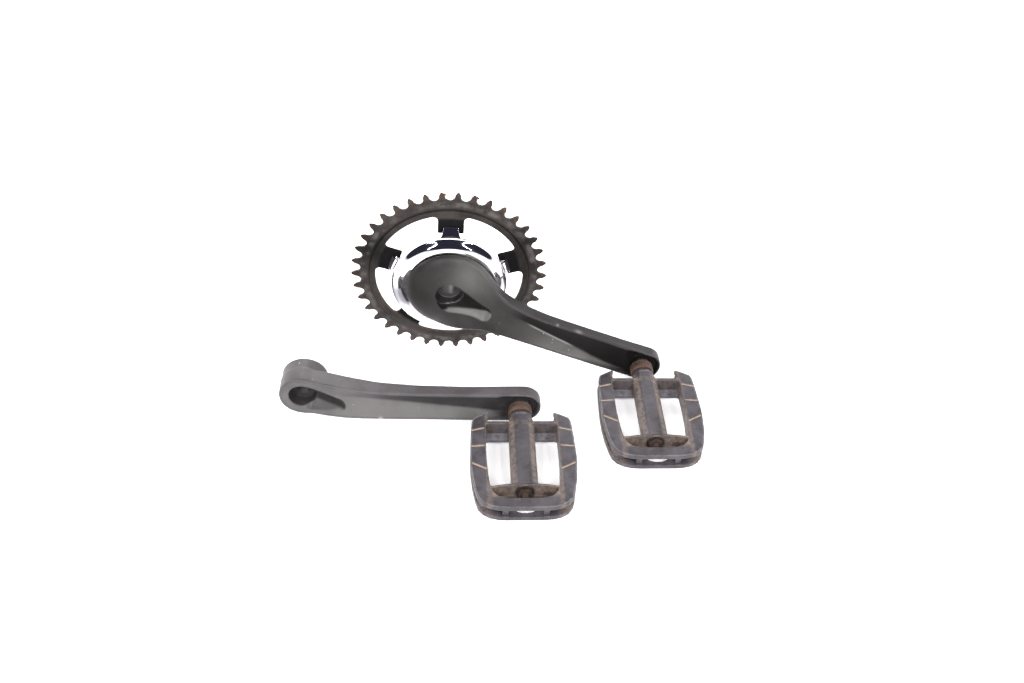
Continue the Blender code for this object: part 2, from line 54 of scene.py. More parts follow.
# Chainring
TEETH = 38
PITCH = 12.7
PITCH_RADIUS = PITCH / 2 / math.sin(math.pi / TEETH)
TIP_RADIUS = PITCH * (0.6 + 1 / math.tan(math.pi / TEETH)) / 2
ROLLER_SEAT = 4.0
TIP_HALF = 0.8                 # half of a tooth's width at its tip
TOOTH_PHASE = math.radians(1.3)
SPIDER_PHASE = math.radians(37.2)
CHAIN_LINE_Y = 49.0
JOGGLE_STEP = 1.9
JOGGLE_RADIUS = 65.5
PLATE = 2.8
WINDOW_RADIUS = 60.5
TAB_END = 43.8
TAB_HALF_WIDTH = 10.4
ARMS = 5

TAB_OUTER = 66.0
WINDOW_FILLET = 5.5
THIN_FROM = 73.5               # outside this radius the plate thins towards the tips
THINNING = 0.75                # on each side
RIVET_CIRCLE = 46.6
RIVET_HOLE = 1.6

# Spider
SPIDER_HOLE = 24.2
SPIDER_RIM = 46.9
DOME_WALL = 1.5

# Crank arms
RIGHT_BOSS_RADIUS = 35.2
RIGHT_BORE_FACE = 20.6         # y of the flat round the bore's mouth
RIGHT_ARM_BACK = 14.1          # y of the inboard face at the pedal end
HUB_RADIUS = 23.7              # behind the right boss, through the spider
HUB_START = 28.0
HUB_END = 50.0
LEFT_BOSS_RADIUS = 18.3
LEFT_BORE_FACE = 13.0
LEFT_ARM_BACK = 14.0
LEFT_BOSS_END = 39.5
BORE_RADIUS = 11.0
BORE_DEPTH = 12.0
TAPER_HALF = 6.35              # square taper, half of its small end's width
TAPER_WIDENS = 0.5
EYE_RADIUS = 14.3              # rounded end of an arm
EYE_OFFSET = 2.6               # its centre is this far past the pedal axis
EYE_SEAT = 9.0
EYE_SEAT_FACE = 2.4
SPINDLE_HOLE = 7.2

# Spindle, washer and locknut
FLANGE = 9.4
JOURNAL = 4.2
STUD = 3.0
STUD_END = 87.8
THREAD_PITCH = 0.8
THREAD_TURNS = 6
NUT_Y = -85.8
NUT_HALF_THICK = 1.4
NUT_FLAT = 5.35                # half of the width across flats
NUT_CHAMFER = 6.1
NUT_HOLE = 3.25


# ------------------------------------------------------------ distance fields

def smooth_min(a, b, reach):
    """The smaller of two fields, rounded over this reach where they meet."""
    share = np.clip(0.5 + 0.5 * (b - a) / reach, 0, 1)
    return b + (a - b) * share - reach * share * (1 - share)


def smooth_max(a, b, reach):
    return -smooth_min(-a, -b, reach)


def smooth_step(value, low, high):
    share = np.clip((value - low) / (high - low), 0, 1)
    return share * share * (3 - 2 * share)


def run_along(points, blur=5.0):
    """A smooth function through roughly these (position, value) points."""
    places, values = zip(*points)
    fine = np.linspace(places[0] - 60, places[-1] + 60, 1600)
    spacing = fine[1] - fine[0]
    reach = int(3 * blur / spacing)
    kernel = np.exp(-0.5 * (np.arange(-reach, reach + 1) * spacing / blur) ** 2)
    padded = np.pad(np.interp(fine, places, values), reach, mode="edge")
    smooth = np.convolve(padded, kernel / kernel.sum(), mode="valid")
    return lambda x: np.interp(x, fine, smooth)


def polygon_field(u, v, outline):
    """Signed distance to a closed outline of (u, v) points, negative inside."""
    nearest = np.full(np.broadcast(u, v).shape, np.inf)
    inside = np.zeros(nearest.shape, bool)
    for (u0, v0), (u1, v1) in zip(outline, outline[1:] + outline[:1]):
        eu, ev = u1 - u0, v1 - v0
        along = np.clip(((u - u0) * eu + (v - v0) * ev) / (eu * eu + ev * ev), 0, 1)
        nearest = np.minimum(nearest, (u - u0 - eu * along) ** 2 + (v - v0 - ev * along) ** 2)
        if ev != 0:
            inside ^= ((v0 <= v) != (v1 <= v)) & (u < u0 + eu * (v - v0) / ev)
    return np.where(inside, -1, 1) * np.sqrt(nearest)


def box_field(u, v, low, high, rounding=0.0):
    """Signed distance to a rectangle with rounded corners."""
    half_u, half_v = (high[0] - low[0]) / 2 - rounding, (high[1] - low[1]) / 2 - rounding
    du = np.abs(u - (low[0] + high[0]) / 2) - half_u
    dv = np.abs(v - (low[1] + high[1]) / 2) - half_v
    outside = np.hypot(np.maximum(du, 0), np.maximum(dv, 0))
    return outside + np.minimum(np.maximum(du, dv), 0) - rounding


def cone_field(x, y, z, start, end, start_radius, end_radius):
    """A rod between two points with round ends of two sizes."""
    span = [b - a for a, b in zip(start, end)]
    length2 = sum(c * c for c in span)
    offset = (x - start[0], y - start[1], z - start[2])
    along = np.clip(sum(o * c for o, c in zip(offset, span)) / length2, 0, 1)
    gap = [o - c * along for o, c in zip(offset, span)]
    return np.sqrt(sum(g * g for g in gap)) - (start_radius + (end_radius - start_radius) * along)


def fold_around(x, z, phase, count):
    """Coordinates inside the nearest of count equal sectors: outwards, and across."""
    step = math.tau / count
    angle = np.mod(np.arctan2(z, x) - phase + step / 2, step) - step / 2
    radius = np.hypot(x, z)
    return radius * np.cos(angle), radius * np.sin(angle)


def surface_net(field, low, high, step):
    """Vertices and quads of the field's zero surface, on a grid of this step."""
    axes = [np.arange(a, b + step, step) for a, b in zip(low, high)]
    shape = tuple(len(a) for a in axes)
    grid = (axes[0][:, None, None], axes[1][None, :, None], axes[2][None, None, :])
    value = np.broadcast_to(field(*grid), shape).astype(np.float32)
    inside = value < 0

    def corner(array, i, j, k):
        return array[i:shape[0] - 1 + i, j:shape[1] - 1 + j, k:shape[2] - 1 + k]

    filled = sum(corner(inside, i, j, k).astype(np.int8)
                 for i in (0, 1) for j in (0, 1) for k in (0, 1))
    mixed = (filled > 0) & (filled < 8)
    cells = np.argwhere(mixed)
    index = np.full(mixed.shape, -1, np.int64)
    index[mixed] = np.arange(len(cells))

    total = np.zeros((len(cells), 3))
    weight = np.zeros(len(cells))
    for axis in range(3):
        for p in (0, 1):
            for q in (0, 1):
                start = np.zeros(3, int)
                start[(axis + 1) % 3] = p
                start[(axis + 2) % 3] = q
                end = start.copy()
                end[axis] = 1
                a = value[tuple((cells + start).T)]
                b = value[tuple((cells + end).T)]
                crossed = (a < 0) != (b < 0)
                share = np.where(crossed, a / np.where(crossed, a - b, 1), 0)
                place = (cells + start).astype(float)
                place[:, axis] += share
                total[crossed] += place[crossed]
                weight += crossed
    verts = np.array(low) + total / weight[:, None] * step

    quads = []
    for axis in range(3):
        b_axis, c_axis = (axis + 1) % 3, (axis + 2) % 3
        near = np.moveaxis(inside, (axis, b_axis, c_axis), (0, 1, 2))
        cell = np.moveaxis(index, (axis, b_axis, c_axis), (0, 1, 2))
        differs = near[:-1, 1:-1, 1:-1] != near[1:, 1:-1, 1:-1]
        i, j, k = np.nonzero(differs)
        quad = np.stack([cell[i, j, k], cell[i, j + 1, k], cell[i, j + 1, k + 1], cell[i, j, k + 1]], 1)
        outwards = near[i, j + 1, k + 1]
        quads.append(np.where(outwards[:, None], quad, quad[:, ::-1]))
    return verts, np.concatenate(quads)


def field_slope(field, places, reach=0.05):
    """The field's gradient at these places."""
    slope = np.empty_like(places)
    for axis in range(3):
        shift = np.zeros(3)
        shift[axis] = reach
        ahead, behind = (places + shift).T, (places - shift).T
        slope[:, axis] = (field(*ahead) - field(*behind)) / (2 * reach)
    return slope


def mesh_of(name, field, low, high, step, extra=None):
    """Smooth mesh of a field's surface, with vertices settled onto it.

    extra gives named values at the vertices, for the materials to read.
    """
    verts, quads = surface_net(field, low, high, step * (1.0))
    for _ in range(SETTLING):
        slope = field_slope(field, verts)
        size2 = np.maximum((slope ** 2).sum(1), 0.05)
        move = slope * (field(*verts.T) / size2)[:, None]
        length = np.linalg.norm(move, axis=1)
        verts = verts - move * np.minimum(1, step / np.maximum(length, 1e-9))[:, None]
    mesh = bpy.data.meshes.new(name)
    mesh.from_pydata((verts * MM).tolist(), [], quads.tolist())
    mesh.shade_smooth()
    slope = field_slope(field, verts)
    mesh.normals_split_custom_set_from_vertices(
        (slope / np.maximum(np.linalg.norm(slope, axis=1), 1e-9)[:, None]).tolist())
    for key, values in (extra(*verts.T) if extra else {}).items():
        layer = mesh.attributes.new(key, "FLOAT", "POINT")
        layer.data.foreach_set("value", np.ascontiguousarray(values, dtype=np.float32))
    return mesh


# ---------------------------------------------------------------- placing

JOINTS = {joint["name"]: joint for joint in frame["joints"]}


def pedal_matrix(spin):
    """Frame of a pedal at rest: level across, leaning with its axis, y = 0 at its inner end."""
    outboard = Vector(JOINTS[spin]["axis"])
    lean = math.atan2(-outboard.z, -outboard.y)
    inner_end = Vector(JOINTS[spin]["pos_m"]) - outboard * JOINT_REACH * MM
    return Matrix.Translation(inner_end) @ Matrix.Rotation(lean, 4, "X")


def crank_matrix(spin, droop):
    """Frame of a crank at rest: +X to the pedal axis, origin on the bottom bracket axis."""
    turned = pedal_matrix(spin) @ Matrix.Rotation(droop, 4, "Y")
    return turned @ Matrix.Translation((-CRANK_LENGTH * MM, 0, 0))


RIGHT_CRANK = crank_matrix("right_pedal_spin", RIGHT_DROOP)
LEFT_CRANK = crank_matrix("left_pedal_spin", LEFT_DROOP)
RIGHT_PEDAL = pedal_matrix("right_pedal_spin")
LEFT_PEDAL = pedal_matrix("left_pedal_spin")


def add_piece(name, mesh, matrix, body, material, slot, *stands_for):
    """Places a piece. Its mesh takes the turn, so that its box lies square to the frame."""
    turned = mesh.copy()
    turned.transform(matrix.to_3x3().to_4x4())
    turned.materials.append(material)
    piece = bpy.data.objects.new(name, turned)
    bpy.context.scene.collection.objects.link(piece)
    piece.location = matrix.translation
    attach(piece, body)
    if stands_for:
        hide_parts(*stands_for)


# ---------------------------------------------------------------- materials

class Graph:
    """Short calls for building a material's nodes."""

    def __init__(self, name):
        self.material = bpy.data.materials.new(name)
        self.material.use_nodes = True
        self.tree = self.material.node_tree
        self.shader = self.tree.nodes["Principled BSDF"]

    def add(self, kind, **settings):
        node = self.tree.nodes.new(kind)
        for key, value in settings.items():
            setattr(node, key, value)
        return node

    def link(self, source, target):
        self.tree.links.new(source, target)

    def feed(self, target, value):
        if hasattr(value, "is_output"):
            self.link(value, target)
        else:
            target.default_value = value

    def place(self, stretch=(1, 1, 1)):
        coords = self.add("ShaderNodeTexCoord")
        mapping = self.add("ShaderNodeMapping")
        mapping.inputs["Scale"].default_value = stretch
        self.link(coords.outputs["Object"], mapping.inputs["Vector"])
        return mapping.outputs["Vector"]

    def noise(self, scale, detail=4.0, rough=0.55, stretch=(1, 1, 1)):
        node = self.add("ShaderNodeTexNoise")
        node.inputs["Scale"].default_value = scale
        node.inputs["Detail"].default_value = detail
        node.inputs["Roughness"].default_value = rough
        self.link(self.place(stretch), node.inputs["Vector"])
        return node.outputs["Fac"]

    def value(self, name):
        return self.add("ShaderNodeAttribute", attribute_name=name).outputs["Fac"]

    def math(self, operation, a, b=0.0, clamp=False):
        node = self.add("ShaderNodeMath", operation=operation, use_clamp=clamp)
        self.feed(node.inputs[0], a)
        self.feed(node.inputs[1], b)
        return node.outputs[0]

    def band(self, source, low, high, out_low=0.0, out_high=1.0):
        node = self.add("ShaderNodeMapRange", interpolation_type="SMOOTHSTEP")
        self.feed(node.inputs["Value"], source)
        node.inputs["From Min"].default_value = low
        node.inputs["From Max"].default_value = high
        node.inputs["To Min"].default_value = out_low
        node.inputs["To Max"].default_value = out_high
        return node.outputs["Result"]

    def blend(self, share, under, over):
        node = self.add("ShaderNodeMix", data_type="RGBA")
        self.feed(node.inputs[0], share)
        for socket, colour in ((node.inputs[6], under), (node.inputs[7], over)):
            self.feed(socket, colour if hasattr(colour, "is_output") else (*colour, 1.0))
        return node.outputs[2]

    def edges(self, low, high):
        geometry = self.add("ShaderNodeNewGeometry")
        return self.band(geometry.outputs["Pointiness"], low, high)

    def finish(self, colour, rough, height=None, depth=0.0002, strength=0.5, metal=0.0, gloss=0.3):
        self.feed(self.shader.inputs["Base Color"], colour)
        self.feed(self.shader.inputs["Roughness"], rough)
        self.feed(self.shader.inputs["Metallic"], metal)
        self.feed(self.shader.inputs["Specular IOR Level"], gloss)
        if height is not None:
            bump = self.add("ShaderNodeBump")
            bump.inputs["Strength"].default_value = strength
            bump.inputs["Distance"].default_value = depth
            self.link(height, bump.inputs["Height"])
            self.link(bump.outputs["Normal"], self.shader.inputs["Normal"])
        return self.material


def scaled(colour, share):
    return tuple(c * share for c in colour)


def arm_paint(name, painted_shade_colour, middle, painted_lit_face, scuff, rough):
    """Worn satin paint with scuffs and chips, painted shade where it is undercut and painted light on the
    broad face.
    """
    g = Graph(name)
    cloud = g.noise(60, 5, 0.6)
    base = g.blend(g.band(cloud, 0.3, 0.72), scaled(middle, 0.8), scaled(middle, 1.2))
    # painted light on the broad lower face
    base = g.blend(g.math("MULTIPLY", g.value("light"), g.band(cloud, 0.1, 0.6, 0.6, 1.0)), base, painted_lit_face)
    # painted shade in the undercut band, the eye's recess, a scoop's upper wall and a bore
    base = g.blend(g.math("MULTIPLY", g.value("dark"), g.band(cloud, 0.2, 0.8, 1.0, 0.8)), base, painted_shade_colour)
    grain = g.noise(2600, 3, 0.6)
    base = g.blend(g.band(grain, 0.55, 0.8, 0, 0.12), base, scuff)
    streaks = g.noise(420, 6, 0.75, (0.25, 1, 1))
    wear = g.math("MULTIPLY", g.edges(0.525, 0.58), g.band(streaks, 0.5, 0.66))
    base = g.blend(g.math("MULTIPLY", wear, 0.45), base, scuff)
    flecks = g.band(g.noise(300, 3, 0.6), 0.7, 0.73)
    chips = g.math("MULTIPLY", flecks, g.band(g.noise(38, 2), 0.5, 0.62))
    chips = g.math("MULTIPLY", chips, g.band(g.value("dark"), 0.0, 0.4, 1.0, 0.0))
    base = g.blend(g.math("MULTIPLY", chips, 0.8), base, (0.45, 0.43, 0.42))
    # scrapes and chips, and on the right arm a painted highlight along the crease and a trace of painted
    # light on the scoop's floor
    base = g.blend(g.value("scrape"), base, (0.5, 0.48, 0.47))
    bare = g.value("bare")
    base = g.blend(bare, base, (0.1, 0.094, 0.094))
    roughness = g.band(cloud, 0.3, 0.75, rough - 0.06, rough + 0.1)
    axes = g.add("ShaderNodeSeparateXYZ")
    g.link(g.place(), axes.inputs[0])
    thread = g.math("SINE", g.math("MULTIPLY", axes.outputs["Y"], math.tau / MM))
    height = g.math("ADD", g.math("MULTIPLY", grain, 0.35), g.math("MULTIPLY", chips, -1.2))
    height = g.math("ADD", height, g.math("MULTIPLY", thread, g.math("MULTIPLY", bare, 1.5)))
    # less gloss where the shade is painted
    gloss = g.band(g.value("dark"), 0.0, 1.0, 0.24, 0.04)
    return g.finish(base, roughness, height, 0.00012, 0.4, bare, gloss)


def blackened_steel():
    """Black oxide with rust that starts at the teeth and the cut edges."""
    g = Graph("black_oxide")
    cloud = g.noise(45, 5, 0.6)
    base = g.blend(g.band(cloud, 0.3, 0.7), (0.011, 0.0095, 0.009), (0.034, 0.029, 0.027))
    mottle = g.band(g.noise(260, 4, 0.7), 0.35, 0.7)
    rust_colour = g.blend(mottle, (0.04, 0.023, 0.016), (0.085, 0.052, 0.037))
    rust = g.math("MULTIPLY", g.value("rust"), g.band(g.noise(150, 6, 0.75), 0.36, 0.6), clamp=True)
    base = g.blend(rust, base, rust_colour)
    # painted shade on the joggle's step line and the tabs, and two dark fans of painted reflection, with
    # less gloss there
    shade = g.value("shade")
    base = g.blend(shade, base, (0.006, 0.0055, 0.006))
    # paler in a band just outside the joggle's step
    rub = g.math("MULTIPLY", g.value("rub"), g.band(g.noise(90, 5, 0.6, (1, 3, 1)), 0.4, 0.65))
    base = g.blend(g.math("MULTIPLY", rub, 0.45), base, (0.13, 0.12, 0.115))
    rough = g.band(cloud, 0.3, 0.7, 0.38, 0.56)
    pits = g.noise(900, 5, 0.7)
    return g.finish(base, rough, pits, 0.00015, 0.4, 0.0, g.band(shade, 0.0, 1.0, 0.14, 0.02))


def chrome_plate():
    """Bright plating with hairline scratches, a few dull spots and patches of painted dark reflection."""
    g = Graph("chrome_plate")
    spots = g.band(g.noise(230, 4, 0.7), 0.62, 0.72)
    base = g.blend(g.math("MULTIPLY", spots, 0.35), (0.86, 0.86, 0.88), (0.45, 0.42, 0.42))
    # painted dark reflection where the spider's marks put it
    base = g.blend(g.math("MULTIPLY", g.value("shade"), 0.85), base, (0.1, 0.097, 0.125))
    haze = g.band(g.noise(90, 4), 0.4, 0.75, 0.02, 0.06)
    rough = g.math("ADD", haze, g.math("MULTIPLY", spots, 0.12))
    hair = g.noise(700, 2, 0.4, (1, 1, 0.06))
    return g.finish(base, rough, hair, 0.00002, 0.15, 1.0)


def rusty_steel(name, level):
    """Rust with patches of bare steel; level scales how light its colours are."""
    g = Graph(name)
    patches = g.noise(330, 6, 0.7)
    dark_rust = scaled((0.028, 0.014, 0.01), level)
    light_rust = scaled((0.13, 0.07, 0.043), level)
    rust = g.blend(g.band(g.noise(800, 5, 0.7), 0.3, 0.7), dark_rust, light_rust)
    base = g.blend(g.band(patches, 0.42, 0.6), rust, scaled((0.07, 0.052, 0.045), level))
    rough = g.band(patches, 0.4, 0.62, 0.85, 0.5)
    metal = g.band(patches, 0.45, 0.65, 0.1, 0.7)
    return g.finish(base, rough, g.noise(1100, 6, 0.75), 0.0003, 0.7, metal)


def pedal_resin():
    """Greyed moulded resin with tan dirt packed into the grooves and hollows."""
    g = Graph("pedal_resin")
    cloud = g.noise(75, 5, 0.62)
    base = g.blend(g.band(cloud, 0.3, 0.72), (0.022, 0.0205, 0.0255), (0.055, 0.051, 0.063))
    speck = g.noise(1500, 4, 0.7)
    base = g.blend(g.band(speck, 0.56, 0.8, 0, 0.3), base, (0.11, 0.095, 0.088))
    dust = g.math("MULTIPLY", g.value("dirt"), g.band(g.noise(260, 6, 0.75), 0.3, 0.62))
    base = g.blend(g.math("MULTIPLY", dust, 0.8, True), base, (0.2, 0.15, 0.115))
    worn = g.math("MULTIPLY", g.edges(0.53, 0.6), g.band(g.noise(300, 5, 0.7), 0.4, 0.65))
    base = g.blend(g.math("MULTIPLY", worn, 0.4), base, (0.2, 0.18, 0.175))
    # painted highlight along the cage's top edge, and painted sheen on the lower web's ledge
    lip = g.math("MULTIPLY", g.value("lip"), g.band(g.noise(120, 4, 0.6), 0.35, 0.55, 0.25, 0.9))
    base = g.blend(lip, base, (0.2, 0.19, 0.21))
    groove = g.math("MULTIPLY", g.value("groove"), g.band(g.noise(420, 4, 0.7), 0.22, 0.45))
    base = g.blend(groove, base, (0.38, 0.3, 0.22))
    rough = g.band(cloud, 0.3, 0.7, 0.38, 0.55)
    return g.finish(base, rough, speck, 0.0002, 0.5)


def moulded(name, colour, rough):
    g = Graph(name)
    tone = g.blend(g.band(g.noise(400, 4), 0.3, 0.7), scaled(colour, 0.7), colour)
    return g.finish(tone, rough, g.noise(900, 3), 0.0001, 0.3)


# each paint: painted-shade colour, middle colour, painted-light colour, scuff colour, roughness
RIGHT_PAINT = arm_paint("black_arm_paint", (0.006, 0.005, 0.005), (0.021, 0.0188, 0.0188),
                        (0.122, 0.116, 0.113), (0.2, 0.19, 0.185), 0.42)
LEFT_PAINT = arm_paint("grey_arm_paint", (0.012, 0.011, 0.011), (0.07, 0.064, 0.067),
                       (0.115, 0.111, 0.106), (0.24, 0.23, 0.22), 0.45)
OXIDE = blackened_steel()
CHROME = chrome_plate()
RUST = rusty_steel("rusty_steel", 1.0)
# a darker copy of the rusty steel: painted shade for the nut and washer down in the pedal's pocket
SHADED_RUST = rusty_steel("greasy_rusty_steel", 0.4)
RESIN = pedal_resin()


# --------------------------------------------------------------- crank arms

class ArmShape:
    """The sculpted beam of one arm, as smooth functions of the distance along it.

    half is its half height, outer and inner the y of its two faces, valley the z of the hollow's
    deepest line, depth the hollow's depth, the list after depth how much painted light falls on the
    broad face, and crisp how sharply the hollow falls from the top rim.
    """

    def __init__(self, half, outer, inner, valley, depth, painted_lit_face, crisp):
        self.half = run_along(half)
        self.outer = run_along(outer)
        self.inner = run_along(inner, 3.0)
        self.valley = run_along(valley, 8.0)
        self.depth = run_along(depth, 8.0)
        self.painted_lit_from = run_along(painted_lit_face, 8.0)
        self.crisp = crisp

    def plan(self, x, z, start):
        """The beam seen from outboard, with its rounded end round the pedal axis."""
        eye_x = CRANK_LENGTH + EYE_OFFSET
        strip = np.maximum(np.abs(z) - self.half(x), np.maximum(start - x, x - eye_x))
        eye = np.hypot(x - eye_x, z) - EYE_RADIUS
        return np.minimum(strip, eye)

    def recess(self, x, z, plan):
        """How far the outboard face is hollowed: steep under the top rim, long below it."""
        half = self.half(x)
        valley = self.valley(x)
        above = np.clip((z - valley) / (half - 2.6 - valley), 0, 1)
        below = np.clip((valley - z) / (half + valley - 0.5), 0, 1)
        shape = np.where(z > valley, 1 - above ** self.crisp, 1 - below ** 1.25)
        level = smooth_step(x, 152, 166)
        return self.depth(x) * (shape + (1 - shape) * level) * smooth_step(-plan, 0.8, 3.4)

    def marks(self, x, y, z, plan, face):
        """Painted shade in the undercut band and the eye's recess, painted light on the broad lower face."""
        front = smooth_step(face + 2.0 - y, 0, 1.2) * smooth_step(-plan, 1.6, 3.2)
        hollow = smooth_step(self.depth(x), 0.6, 2.6)
        over = smooth_step(z - self.valley(x), -1.0, 3.0)
        eye = smooth_step(x, 146, 164)
        dark = front * hollow * np.maximum(over, eye * 0.9)
        lit_share = self.painted_lit_from(x)
        drop = np.clip((self.valley(x) - z) / (self.half(x) + self.valley(x) + 0.1), 0, 1)
        light = front * (1 - over) * (1 - eye) * lit_share * (0.6 + 0.4 * drop)
        return dark, light


def spot(x, z, at, size, flat=1.0):
    """A soft spot round (x, z); flat above 1 makes it longer than it is high."""
    return np.exp(-((x - at[0]) ** 2 + ((z - at[1]) * flat) ** 2) / size ** 2)


RIGHT_SHAPE = ArmShape(
    half=[(0, 24.5), (16, 23.5), (33, 19.5), (50, 16.4), (67, 15.0), (84, 14.6), (130, 14.8),
          (172, 14.3)],
    outer=[(-60, 70), (-8, 36), (4, 26), (16, 21), (30, 15), (46, 9.8), (64, 7.2), (84, 5.8),
           (120, 4.6), (150, 3.4), (172, 2.3), (190, 2.3)],
    inner=[(0, 30.1), (20, 30.1), (30, 28.2), (46, 22.8), (64, 18.6), (84, 16.2), (120, 14.4),
           (150, 13.8), (172, 14.1), (190, 14.1)],
    valley=[(30, 9), (46, 7.4), (69, 3.6), (90, -0.6), (112, -4.6), (130, -8.8), (150, -12.4),
            (172, -13)],
    depth=[(34, 0), (50, 1.3), (70, 2.6), (100, 3.8), (135, 5.0), (165, 5.0), (190, 5.0)],
    painted_lit_face=[(30, 0.0), (62, 0.08), (92, 0.75), (115, 1.0)], crisp=1.4)
LEFT_SHAPE = ArmShape(
    half=[(0, 18.0), (14, 17.6), (30, 16.8), (45, 16.0), (60, 15.2), (93, 14.6), (133, 14.6),
          (172, 14.3)],
    outer=[(-30, 13.2), (2, 13.0), (20, 8.3), (36, 5.2), (60, 3.4), (93, 2.8), (133, 2.4), (172, 2.3)],
    inner=[(0, 28), (14, 26), (34, 21), (60, 15.9), (90, 13.5), (133, 12.5), (172, 14.0), (190, 14.0)],
    valley=[(0, 4), (46, 5.5), (80, 2), (110, -2), (140, -6), (172, -11)],
    depth=[(-20, 1.6), (20, 2.4), (60, 3.4), (100, 4.0), (135, 4.8), (165, 5.0), (190, 5.0)],
    painted_lit_face=[(20, 0.4), (40, 1.0), (90, 0.8), (150, 0.7)], crisp=1.6)
DOME = run_along([(0, 20.6), (12, 20.7), (22, 21.6), (28, 23.0), (33, 25.6), (36, 29.2), (60, 66)], 2.0)


def bore_field(x, y, z, face, inner_end):
    """Extractor bore from the outboard face, and the square taper behind it."""
    bottom = face + BORE_DEPTH
    mouth = np.maximum(np.hypot(x, z) - BORE_RADIUS, y - bottom)
    half = TAPER_HALF + (y - bottom) / (inner_end - bottom) * TAPER_WIDENS
    square = box_field(x, z, (-1, -1), (1, 1)) + 1 - half
    return np.minimum(mouth, square)


def eye_field(body, x, y, z, inner_end):
    """Raised seat for the spindle's flange, and the hole for its thread."""
    radius = np.hypot(x - CRANK_LENGTH, z)
    seat = np.maximum(smooth_max(radius - EYE_SEAT, EYE_SEAT_FACE - y, 0.5), y - inner_end)
    return smooth_max(smooth_min(body, seat, 0.6), SPINDLE_HOLE - radius, 0.6)


def inside_bore(x, y, z, face):
    """1 on the bore's walls, 0 elsewhere."""
    near = 1 - smooth_step(np.hypot(x, z), BORE_RADIUS + 0.4, BORE_RADIUS + 0.8)
    return near * smooth_step(y, face, face + 1)


def right_scoop(x, y, z):
    return cone_field(x, y, z, (5, 11.6, -3.4), (29, 10.4, -3.2), 15.6, 8.0)


def left_scoop(x, y, z):
    return cone_field(x, y, z, (5, 6.4, -2.4), (26, 2.0, -3.8), 13.6, 9.2)


def right_arm_face(x, z, plan):
    dome = DOME(np.hypot(x, z))
    return smooth_min(dome, RIGHT_SHAPE.outer(x), 7.0) + RIGHT_SHAPE.recess(x, z, plan)


def right_arm_plan(x, z):
    return smooth_min(np.hypot(x, z) - RIGHT_BOSS_RADIUS, RIGHT_SHAPE.plan(x, z, 6.0), 13.0)


def right_arm_field(x, y, z):
    plan = right_arm_plan(x, z)
    body = smooth_max(plan, (right_arm_face(x, z, plan) - y) * 0.8, 2.8)
    body = smooth_max(body, y - RIGHT_SHAPE.inner(x), 1.4)
    hub = np.maximum(smooth_max(np.hypot(x, z) - HUB_RADIUS, y - HUB_END, 1.2), HUB_START - y)
    body = np.minimum(body, hub)
    body = smooth_max(body, -right_scoop(x, y, z), 0.9)
    body = smooth_max(body, -bore_field(x, y, z, RIGHT_BORE_FACE, HUB_END), 0.6)
    return eye_field(body, x, y, z, RIGHT_ARM_BACK)


def right_arm_marks(x, y, z):
    plan = right_arm_plan(x, z)
    dark, light = RIGHT_SHAPE.marks(x, y, z, plan, right_arm_face(x, z, plan))
    hollow = 1 - smooth_step(np.abs(right_scoop(x, y, z)), 0.2, 1.2)
    slant = z - 0.47 * x + 16.0            # 0 along the line where the scoop's wall meets its lit floor
    lit_scoop_floor = hollow * (1 - smooth_step(slant, -1.5, 0.5)) * smooth_step(x, -2, 8)
    # painted shade on the scoop's upper wall; painted light on its floor below
    dark = np.maximum(dark, hollow * smooth_step(slant, -0.5, 1.0))
    light = np.maximum(light, lit_scoop_floor * 0.65)
    # the boss darker towards its far side, using the undercut's dark colour
    dark = np.maximum(dark, 0.6 * (1 - smooth_step(x, -34, 6)) * (1 - hollow))
    # painted light on the top of the boss
    light = np.maximum(light, 0.5 * spot(x, z, (10, 22), 16.0) * (1 - hollow))
    bare = inside_bore(x, y, z, RIGHT_BORE_FACE + 1)
    # painted highlight along the hollow's crease
    crease_highlight = np.exp(-((z - RIGHT_SHAPE.valley(x) - 0.4) / 0.7) ** 2) * smooth_step(-plan, 3, 5)
    crease_highlight = crease_highlight * smooth_step(x, 64, 74) * (1 - smooth_step(x, 104, 114)) * smooth_step(14 - y, 0, 2)
    # chips on the top rim, plus a trace of painted light on the scoop's floor
    chipped = 0.22 * (spot(x, z, (89, 14), 1.2, 1.6) + spot(x, z, (108, 14), 3.0, 4.0))
    chipped = chipped * smooth_step(9 - y, 0, 2) + 0.04 * lit_scoop_floor
    return {"dark": dark * (1 - bare), "light": light * (1 - bare), "bare": bare,
            "scrape": np.clip(0.35 * crease_highlight + chipped, 0, 1)}


def left_arm_plan(x, z):
    return smooth_min(np.hypot(x, z) - LEFT_BOSS_RADIUS, LEFT_SHAPE.plan(x, z, 0.0), 1.6)


def left_arm_face(x, z, plan):
    return LEFT_SHAPE.outer(x) + LEFT_SHAPE.recess(x, z, plan)


def left_arm_field(x, y, z):
    plan = left_arm_plan(x, z)
    body = smooth_max(plan, (left_arm_face(x, z, plan) - y) * 0.9, 2.0)
    body = smooth_max(body, y - LEFT_SHAPE.inner(x), 1.6)
    boss = smooth_max(np.hypot(x, z) - LEFT_BOSS_RADIUS, y - LEFT_BOSS_END, 2.2)
    boss = smooth_max(boss, LEFT_BORE_FACE + 1 - y, 2.0)
    body = smooth_min(body, boss, 1.5)
    body = smooth_max(body, -left_scoop(x, y, z), 1.2)
    body = smooth_max(body, -bore_field(x, y, z, LEFT_BORE_FACE, LEFT_BOSS_END), 0.6)
    return eye_field(body, x, y, z, LEFT_ARM_BACK)


